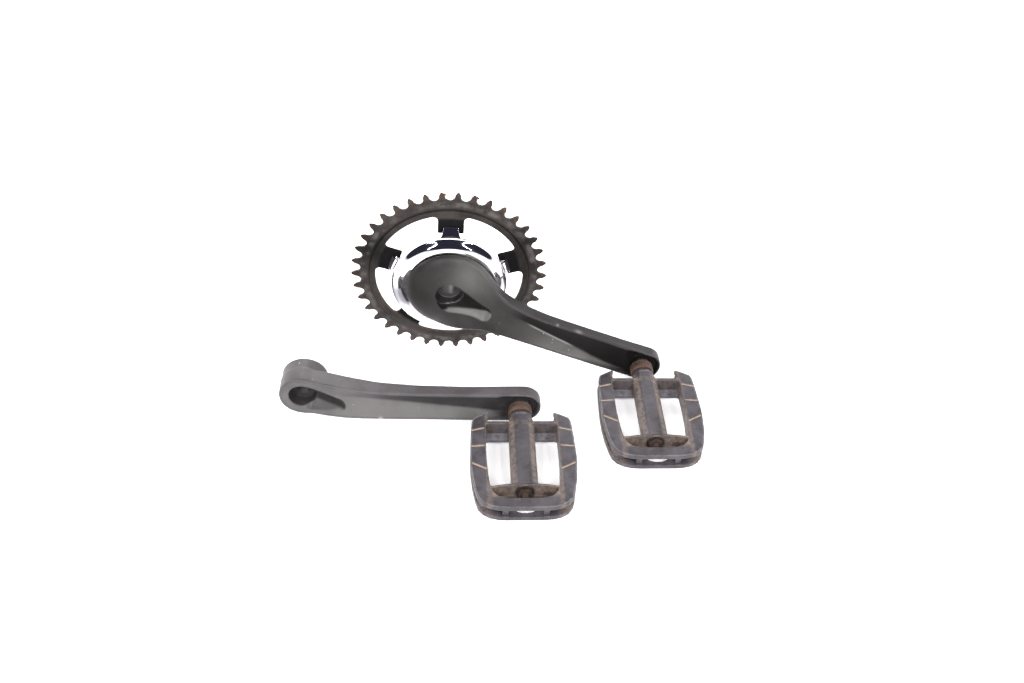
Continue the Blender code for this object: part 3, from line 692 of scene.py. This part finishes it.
def left_arm_marks(x, y, z):
    plan = left_arm_plan(x, z)
    dark, light = LEFT_SHAPE.marks(x, y, z, plan, left_arm_face(x, z, plan))
    dark = dark * smooth_step(x, 20, 95) * 0.85
    hollow = 1 - smooth_step(np.abs(left_scoop(x, y, z)), 0.2, 1.2)
    # painted shade on the scoop's upper wall and inside the bore
    wall = hollow * smooth_step(z + 0.1 * x, -6.5, -2.5)
    bore = inside_bore(x, y, z, LEFT_BORE_FACE + 1.4)
    dark = np.maximum.reduce([dark, wall, bore])
    light = light * (1 - wall)
    chipped = spot(x, z, (62, -14.2), 1.6) * smooth_step(9 - y, 0, 2)
    return {"dark": dark, "light": light * (1 - bore), "bare": bore * 0.25, "scrape": chipped * 0.6}


right_arm_mesh = mesh_of("right_arm", right_arm_field, (-38, 0, -38), (192, 52, 38), 0.8, right_arm_marks)
left_arm_mesh = mesh_of("left_arm", left_arm_field, (-21, 0, -21), (192, 42, 21), 0.8, left_arm_marks)
add_piece("right_arm_sculpted", right_arm_mesh, RIGHT_CRANK, "drive_crank", RIGHT_PAINT, "black_paint",
          "right_crank_arm")
add_piece("left_arm_sculpted", left_arm_mesh, LEFT_CRANK, "left_crank", LEFT_PAINT, "grey_paint",
          "left_crank_arm")


# ---------------------------------------------------------------- chainring

def tooth_half():
    """Half of one tooth sector, from the tip's middle to past the bottom of the gap."""
    half_step = math.pi / TEETH
    cx, cy = PITCH_RADIUS * math.cos(half_step), PITCH_RADIUS * math.sin(half_step)
    inward = half_step + math.pi
    arc = [(cx + ROLLER_SEAT * math.cos(inward + turn), cy + ROLLER_SEAT * math.sin(inward + turn))
           for turn in np.radians(np.linspace(98, -25, 10))]
    deep = 20.0                            # well inside the windows
    return [(TIP_RADIUS, -4), (TIP_RADIUS, TIP_HALF)] + arc + [(70, 12), (deep, 12), (deep, -4)]


TOOTH = tooth_half()
BURRS = [(79.4, 113.5), (78.5, 112.9), (79.5, 94.6), (78.8, 93.8)]     # radius and degrees
BURR_Y = 48.6
BURR_RADIUS = 0.75


def plate_middle(radius):
    """y of the plate's middle, which steps outboard inside the joggle."""
    outside = smooth_step(radius, JOGGLE_RADIUS - 1.0, JOGGLE_RADIUS + 0.7)
    return CHAIN_LINE_Y - JOGGLE_STEP * (1 - outside)


def tab_field(x, z, rounding=0.0):
    """The five tabs that reach inwards to the spider's feet."""
    out, across = fold_around(x, z, SPIDER_PHASE, ARMS)
    return box_field(out, across, (TAB_END, -TAB_HALF_WIDTH), (TAB_OUTER, TAB_HALF_WIDTH), rounding)


def burr_field(x, y, z, radius, degrees):
    turn = math.radians(degrees)
    gap = np.hypot(x - radius * math.cos(turn), z - radius * math.sin(turn))
    return np.hypot(gap, y - BURR_Y) - BURR_RADIUS


def chainring_field(x, y, z):
    radius = np.hypot(x, z)
    u, w = fold_around(x, z, TOOTH_PHASE, TEETH)
    teeth = polygon_field(u, np.abs(w), TOOTH)
    inner = smooth_min(WINDOW_RADIUS - radius, tab_field(x, z, 0.4), WINDOW_FILLET)
    outline = smooth_max(teeth, inner, 0.2)
    half = PLATE / 2 - THINNING * smooth_step(radius, THIN_FROM, TIP_RADIUS)
    sheet = np.abs(y - plate_middle(radius)) - half
    out, across = fold_around(x, z, SPIDER_PHASE, ARMS)
    hole = RIVET_HOLE - np.hypot(out - RIVET_CIRCLE, across)
    ring = smooth_max(smooth_max(outline, sheet, 0.5), hole, 0.3)
    for place in BURRS:
        ring = smooth_min(ring, burr_field(x, y, z, *place), 0.4)
    return ring


def chainring_marks(x, _y, z):
    """Rust at the teeth and cut edges; painted shade on the step line and the tabs, and two dark fans of
    painted sheen.
    """
    radius = np.hypot(x, z)
    window = smooth_min(WINDOW_RADIUS - radius, tab_field(x, z), WINDOW_FILLET)
    teeth = smooth_step(radius, 72.0, 78.0)
    cut = smooth_step(window, -0.9, 0.1)
    step = np.exp(-((radius - JOGGLE_RADIUS) / 0.5) ** 2)
    tab = 1 - smooth_step(radius, 56.0, 60.0)
    angle = np.mod(np.degrees(np.arctan2(z, x)), 360)
    sheen = 0.6 * np.exp(-((angle - 46) / 15) ** 2) + 0.7 * np.exp(-((angle - 178) / 16) ** 2)
    return {"rust": np.clip(0.05 + teeth * 0.8 + cut, 0, 1),
            "shade": np.clip(step * 0.7 + tab * 0.95 + sheen, 0, 1),
            "rub": smooth_step(radius, 66.5, 69) * (1 - smooth_step(radius, 71, 74))}


chainring_mesh = mesh_of("chainring", chainring_field, (-82, 44.8, -82), (82, 51.5, 82), 0.6,
                         chainring_marks)
add_piece("chainring_plate", chainring_mesh, RIGHT_CRANK, "drive_crank", OXIDE, "black_oxide", "chainring")


# ------------------------------------------------------------------- spider

DOME_SLOPE = [(20, 30.6), (38.5, 30.6), (42.0, 32.2), (45.3, 35.3), (45.7, 35.6), (60, 35.6)]
DOME_FRONT = run_along(DOME_SLOPE, 0.7)
FOOT_BACK = CHAIN_LINE_Y - JOGGLE_STEP - PLATE / 2 - 0.3
ARM_SECTION = [(46.0, 36.0), (48.2, 39.6), (50.5, FOOT_BACK - 1.2), (50.5, FOOT_BACK - 0.2),
               (43.8, FOOT_BACK - 0.2), (43.8, FOOT_BACK - 1.6), (48.6, FOOT_BACK - 1.6),
               (46.5, 39.8), (44.6, 36.2)]
ARM_WIDTH = run_along([(30, 10.2), (35, 9.0), (37, 7.6), (40, 6.6), (43, 6.0), (46, 5.9)], 0.8)


def spider_field(x, y, z):
    radius = np.hypot(x, z)
    front = DOME_FRONT(radius)
    sheet = np.maximum(front - y, y - front - DOME_WALL) * 0.8
    dome = smooth_max(sheet, np.maximum(SPIDER_HOLE - radius, radius - SPIDER_RIM), 0.3)
    out, across = fold_around(x, z, SPIDER_PHASE, ARMS)
    section = polygon_field(out, y, ARM_SECTION) - 0.2
    wall = smooth_max(section, np.abs(across) - ARM_WIDTH(y), 0.5)
    hole = np.maximum(np.hypot(out - RIVET_CIRCLE, across) - RIVET_HOLE, FOOT_BACK - 2.2 - y)
    return smooth_min(dome, smooth_max(wall, -hole, 0.2), 0.7)


def spider_marks(x, y, z):
    """Painted dark reflection on two sides of the dome's slope."""
    radius = np.hypot(x, z)
    angle = np.mod(np.degrees(np.arctan2(z, x)), 360)
    painted_reflection = 0.95 * np.exp(-((angle - 215) / 15) ** 4) * smooth_step(radius, 35.0, 37.5)
    painted_reflection = painted_reflection + 0.5 * np.exp(-((angle - 33) / 12) ** 4) * smooth_step(radius, 38.5, 42.0)
    return {"shade": painted_reflection * (1 - smooth_step(y, 37, 39))}


spider_mesh = mesh_of("spider", spider_field, (-52, 29.6, -52), (52, 46.4, 52), 0.55, spider_marks)
add_piece("spider_chromed", spider_mesh, RIGHT_CRANK, "drive_crank", CHROME, "chrome", "spider")


# ------------------------------------------------------------------- pedals

CAGE_EDGE = [(-6, 104.1), (14, 104.1), (20, 103.7), (26.5, 102.0), (31.5, 98.8), (34.8, 94.4),
             (36.6, 88.5), (38.8, 76.0), (39.9, 64.0), (40.2, 55.0), (39.9, 42.0), (39.3, 28.0),
             (38.6, 18.4), (37.2, 14.6), (31.0, 11.0), (26.6, 8.8), (24.8, 8.8), (-6, 8.8)]
CAGE_HOLE = [(-6, 94.8), (13.0, 94.6), (20.0, 92.4), (23.6, 88.6), (25.6, 83.0), (26.8, 72.0),
             (27.8, 56.0), (28.0, 40.0), (27.6, 22.0), (26.6, 14.0), (25.2, 8.0), (24.6, 0.0), (-6, 0.0)]
CAGE_TOP = 7.25
BARREL_SECTION = [(-6, -6), (10.0, -6), (10.0, 3.2), (8.6, 4.6), (5.2, 6.6), (4.6, 7.1), (2.4, 7.3),
                  (-6, 7.3)]
BARREL_SPAN = (6.7, 81.6)
BARREL_NECK = 0.82             # width at its inner end, as a share of the full width
TREAD_CUTS = [((29.4, 25.2), (38.4, 27.6)), ((29.4, 43.2), (38.8, 44.0)), ((28.6, 66.2), (38.4, 60.8))]
CUT_HALF_WIDTH = 0.65
CUT_FLOOR = 6.5
POST_X = 15.0                  # posts between the two layers at the outer end
POST_HALF = 2.3
LAYER_GAP = 3.4
CROSSBAR_OUT = 18.9
WEB_Z = -5.9                   # thin floors at the bars
WEB_HALF = 1.4
END_PLATE_OUT = 81.5           # at its middle; it bows outboard towards the sides
DAYLIGHT_OUT = 93.5            # gap in the lower layer, seen between the posts
BEARING_BORE = 6.5


def segment_field(u, v, start, end):
    """Distance to a straight line between two points."""
    eu, ev = end[0] - start[0], end[1] - start[1]
    along = np.clip(((u - start[0]) * eu + (v - start[1]) * ev) / (eu * eu + ev * ev), 0, 1)
    return np.hypot(u - start[0] - eu * along, v - start[1] - ev * along)


def tread_field(across, out):
    nearest = segment_field(across, out, *TREAD_CUTS[0])
    for start, end in TREAD_CUTS[1:]:
        nearest = np.minimum(nearest, segment_field(across, out, start, end))
    return nearest - CUT_HALF_WIDTH


def cage_field(across, out, up):
    """The two-layer rim, with its side grooves, outer slot and tread cuts."""
    edge = polygon_field(across, out, CAGE_EDGE)
    cage = smooth_max(edge, -polygon_field(across, out, CAGE_HOLE), 0.6)
    cage = smooth_max(cage, up - CAGE_TOP, 0.6)
    side_groove = np.maximum(up - LAYER_GAP + 0.6, -(edge + 1.7))
    slot = np.maximum(np.maximum(up - LAYER_GAP, 90.0 + 0.2 * across - out), -(edge + 12))
    slot = np.maximum(slot, POST_HALF - np.abs(across - POST_X))
    cage = smooth_max(cage, -np.minimum(side_groove, slot), 0.6)
    cuts = np.maximum(tread_field(across, out), CUT_FLOOR - up)
    return smooth_max(cage, -cuts, 0.4)


def pedal_field(x, y, z):
    across, out, up = np.abs(x), -y, np.abs(z)
    narrow = BARREL_NECK + (1 - BARREL_NECK) * smooth_step(out, 8, 17)
    barrel = polygon_field(across / narrow, up, BARREL_SECTION)
    barrel = smooth_max(barrel, np.maximum(BARREL_SPAN[0] - out, out - BARREL_SPAN[1]), 0.8)
    body = smooth_min(cage_field(across, out, up), barrel, 0.8)

    crossbar = smooth_max(np.abs(out - CROSSBAR_OUT) - 1.5, np.maximum(across - 28.5, up - 6.6), 0.7)
    floor = np.abs(z - WEB_Z) - WEB_HALF
    web = np.maximum(np.maximum(floor, across - 28.5), np.abs(out - 23.4) - 4.2)
    bow = 2.6 * (across / 26) ** 2
    end_plate = np.abs(out - END_PLATE_OUT - bow) - 0.9
    end_plate = smooth_max(end_plate, np.maximum(across - 26.8, up - 7.1), 0.6)
    pocket_floor = np.maximum(np.maximum(floor, across - 24), np.abs(out - 88.5) - 7.5)
    for part in (crossbar, web, end_plate, pocket_floor):
        body = smooth_min(body, part, 1.4)

    oval = np.hypot(across / 9.5, (out - DAYLIGHT_OUT) / 6.4) * 5 - 5
    body = smooth_max(body, -np.maximum(oval, z + 2.4), 0.6)
    return smooth_max(body, -np.maximum(np.hypot(x, z) - BEARING_BORE, out - 84), 0.4)


def pedal_marks(x, y, z):
    across, out, up = np.abs(x), -y, np.abs(z)
    groove = 1 - smooth_step(tread_field(across, out), -0.4, 0.5)
    groove = groove * smooth_step(up, 6.0, 6.4) * (1 - smooth_step(up, 6.9, 7.2))
    flank = smooth_step(across, 5.0, 6.5) * (1 - smooth_step(across, 9.6, 10.6)) * smooth_step(out, 8, 14)
    flank = flank * (1 - smooth_step(out, 79, 81.5)) * 0.8
    side = (1 - smooth_step(up, 3.2, 4.2)) * smooth_step(across, 24, 28) * 0.7
    pocket = smooth_step(out, 81.8, 83) * (1 - smooth_step(out, 92, 95)) * (1 - smooth_step(across, 24, 27))
    inner_corner = smooth_step(across, 22, 27) * (1 - smooth_step(across, 28.2, 29)) * 0.6
    wall = (1 - smooth_step(np.abs(out - 19), 2.0, 3.2)) * (1 - smooth_step(across, 27, 29)) * 0.35
    dirt = np.maximum.reduce([flank, side, pocket, inner_corner, wall, np.full_like(across, 0.12)])
    # painted highlight just inside the cage's outer edge, and painted sheen on the lower web's ledge
    lip = np.exp(-((polygon_field(across, out, CAGE_EDGE) + 0.75) / 0.3) ** 2) * smooth_step(up, 6.6, 7.1)
    ledge_sheen = smooth_step(out, 20.6, 21.4) * (1 - smooth_step(out, 27, 28)) * (1 - smooth_step(across, 26, 28))
    ledge_sheen = ledge_sheen * smooth_step(across, 10.2, 11) * (1 - smooth_step(z, -2.5, -1.5))
    return {"groove": groove, "dirt": dirt, "lip": np.maximum(lip, ledge_sheen)}


pedal_mesh = mesh_of("pedal", pedal_field, (-42, -106, -8.6), (42, -7, 8.6), 0.55, pedal_marks)
for side, matrix in (("right", RIGHT_PEDAL), ("left", LEFT_PEDAL)):
    add_piece(side + "_pedal_moulding", pedal_mesh, matrix, side + "_pedal", RESIN, "pedal_resin",
              side + "_pedal_body")


# -------------------------------------------------- spindles, nuts and washers

def turned_mesh(name, profile, segments=72):
    """A (radius, y) profile spun about Y. One that starts off the axis is closed into a ring."""
    bm = bmesh.new()
    verts = [bm.verts.new((r * MM, y * MM, 0)) for r, y in profile]
    edges = [bm.edges.new(pair) for pair in zip(verts, verts[1:])]
    if profile[0][0] > 0:
        edges.append(bm.edges.new((verts[-1], verts[0])))
    bmesh.ops.spin(bm, geom=verts + edges, cent=(0, 0, 0), axis=(0, 1, 0), angle=math.tau,
                   steps=segments, use_merge=True)
    bmesh.ops.remove_doubles(bm, verts=bm.verts, dist=1e-6)
    bmesh.ops.recalc_face_normals(bm, faces=bm.faces)
    mesh = bpy.data.meshes.new(name)
    bm.to_mesh(mesh)
    bm.free()
    mesh.shade_smooth()
    mesh.set_sharp_from_angle(angle=math.radians(38))
    return mesh


def spindle_profile():
    """Pitted flange with a shallow waist, journal, and threaded stud with fine ridges."""
    profile = [(0, 13.9), (6.0, 13.9), (6.9, 13.0), (6.9, 2.4), (8.7, 2.2), (9.3, 1.7), (FLANGE, 0.4),
               (9.15, -0.2), (9.15, -1.0), (FLANGE, -1.6), (FLANGE, -4.2), (9.1, -5.2), (8.4, -5.9),
               (JOURNAL, -6.0), (JOURNAL, -82.4), (STUD, -82.5)]
    for turn in range(THREAD_TURNS):
        start = -82.7 - turn * THREAD_PITCH
        profile += [(STUD - 0.05, start), (STUD - 0.4, start - THREAD_PITCH / 2)]
    return profile + [(STUD - 0.5, 0.2 - STUD_END), (STUD - 0.9, -STUD_END), (0, -STUD_END)]


def nut_field(x, y, z):
    """Chamfered hexagon with a hole."""
    sixth = math.radians(60)
    hexagon = np.abs(x) * math.sin(sixth) + np.abs(z) * math.cos(sixth)
    hexagon = np.maximum(hexagon, np.abs(z)) - NUT_FLAT
    radius = np.hypot(x, z)
    along = np.abs(y - NUT_Y)
    chamfer = (radius - NUT_CHAMFER) * 0.7 + (along - 1.0) * 0.7
    solid = smooth_max(smooth_max(hexagon, along - NUT_HALF_THICK, 0.3), chamfer, 0.3)
    return smooth_max(solid, NUT_HOLE - radius, 0.2)


WASHER_SECTION = [(3.3, -82.95), (6.5, -82.95), (6.88, -83.2), (6.88, -83.8), (6.5, -84.05), (3.3, -84.05)]
spindle_mesh = turned_mesh("spindle", spindle_profile())
washer_mesh = turned_mesh("washer", WASHER_SECTION)
nut_mesh = mesh_of("nut", nut_field, (-7, -89.4, -7), (7, -83.8, 7), 0.25)
STEEL_PIECES = [("_spindle_turned", spindle_mesh, RUST, "_pedal_spindle"),
                ("_washer_turned", washer_mesh, SHADED_RUST, "_pedal_washer"),
                ("_locknut_hex", nut_mesh, SHADED_RUST, "_pedal_locknut")]
for side, crank, body in (("right", RIGHT_CRANK, "drive_crank"), ("left", LEFT_CRANK, "left_crank")):
    at_pedal = crank @ Matrix.Translation((CRANK_LENGTH * MM, 0, 0))
    for ending, mesh, material, node in STEEL_PIECES:
        add_piece(side + ending, mesh, at_pedal, body, material, "rusty_steel", side + node)


# ------------------------------------------------------- carried-over CAD nodes

CARRIED = {
    "bush": moulded("bush_nylon", (0.55, 0.52, 0.46), 0.5),
    "seal": moulded("seal_rubber", (0.03, 0.028, 0.027), 0.75),
    "rivet": CHROME,
}
for node, obj in frame["nodes"].items():
    for kind, material in CARRIED.items():
        if kind in node:
            obj.data.materials.clear()
            obj.data.materials.append(material)


# ------------------------------------------------------------ floor and lights

LAMP_TARGET = Vector((0, 0, 0.05))
WHITE = (1.0, 0.99, 1.0, 1)
DARK_ROOM = (0.02, 0.02, 0.032, 1)


def build_floor():
    """A plain pale floor that glows slightly, so that it is as white as the backdrop."""
    bm = bmesh.new()
    bmesh.ops.create_grid(bm, x_segments=8, y_segments=8, size=6.0)
    mesh = bpy.data.meshes.new("floor")
    bm.to_mesh(mesh)
    bm.free()
    floor = bpy.data.objects.new("floor", mesh)
    bpy.context.scene.collection.objects.link(floor)
    g = Graph("floor_white")
    tone = g.blend(g.band(g.noise(3, 2), 0.3, 0.7), (0.9, 0.89, 0.895), (0.93, 0.925, 0.925))
    g.shader.inputs["Emission Color"].default_value = WHITE
    g.shader.inputs["Emission Strength"].default_value = 0.4
    mesh.materials.append(g.finish(tone, 0.6))


def area_light(name, place, width, height, power):
    """A rectangular lamp that faces the object."""
    data = bpy.data.lights.new(name, "AREA")
    data.shape = "RECTANGLE"
    data.size = width
    data.size_y = height
    data.energy = power
    lamp = bpy.data.objects.new(name, data)
    bpy.context.scene.collection.objects.link(lamp)
    lamp.location = place
    lamp.rotation_mode = "QUATERNION"
    lamp.rotation_quaternion = (LAMP_TARGET - Vector(place)).to_track_quat("-Z", "Y")


def build_light():
    """White backdrop and sides, a dark room behind the camera and above, and soft lamps."""
    world = bpy.data.worlds.new("studio")
    bpy.context.scene.world = world
    world.use_nodes = True
    tree = world.node_tree

    def add(kind, **settings):
        node = tree.nodes.new(kind)
        for key, value in settings.items():
            setattr(node, key, value)
        return node

    def fade(source, start, end):
        node = add("ShaderNodeMapRange", interpolation_type="SMOOTHSTEP")
        tree.links.new(source, node.inputs["Value"])
        node.inputs["From Min"].default_value = start
        node.inputs["From Max"].default_value = end
        return node.outputs["Result"]

    def combine(operation, a, b):
        node = add("ShaderNodeMath", operation=operation)
        tree.links.new(a, node.inputs[0])
        tree.links.new(b, node.inputs[1])
        return node.outputs[0]

    split = add("ShaderNodeSeparateXYZ")
    tree.links.new(add("ShaderNodeTexCoord").outputs["Generated"], split.inputs[0])
    side, height = split.outputs["Y"], split.outputs["Z"]
    behind = combine("MULTIPLY", fade(side, 0.35, 0.0), fade(height, 0.02, 0.1))
    dark = combine("MAXIMUM", behind, fade(height, 0.42, 0.66))
    mix = add("ShaderNodeMix", data_type="RGBA")
    tree.links.new(dark, mix.inputs[0])
    mix.inputs[6].default_value = WHITE
    mix.inputs[7].default_value = DARK_ROOM
    back = tree.nodes["Background"]
    tree.links.new(mix.outputs[2], back.inputs["Color"])
    back.inputs["Strength"].default_value = 1.3
    area_light("strip_left", (-0.95, -1.8, 1.45), 0.03, 1.5, 60)
    area_light("strip_right", (0.95, -1.8, 1.45), 0.03, 1.5, 60)
    area_light("left", (-2.0, 0.5, 1.3), 0.9, 0.9, 45)
    area_light("right", (2.0, 0.5, 1.3), 0.9, 0.9, 45)
    area_light("back", (-0.3, 1.9, 1.5), 1.2, 1.0, 35)


LENS = 36.77
CAMERA_PLACE = (-0.0268, -0.6215, 0.5674)
CAMERA_HEADING = math.radians(-3.825)
CAMERA_DOWN = math.radians(37.763)
CAMERA_ROLL = math.radians(2.287)


def build_camera():
    """The photo's view, from about 0.84 m."""
    data = bpy.data.cameras.new("camera")
    data.lens = LENS
    data.sensor_width = 36.0
    camera = bpy.data.objects.new("camera", data)
    bpy.context.scene.collection.objects.link(camera)
    heading = Matrix.Rotation(CAMERA_HEADING, 4, "Z")
    pitch = Matrix.Rotation(math.tau / 4 - CAMERA_DOWN, 4, "X")
    roll = Matrix.Rotation(CAMERA_ROLL, 4, "Z")
    camera.matrix_world = Matrix.Translation(CAMERA_PLACE) @ heading @ pitch @ roll
    bpy.context.scene.camera = camera


build_floor()
build_light()
build_camera()
bpy.context.scene.view_settings.view_transform = "Standard"
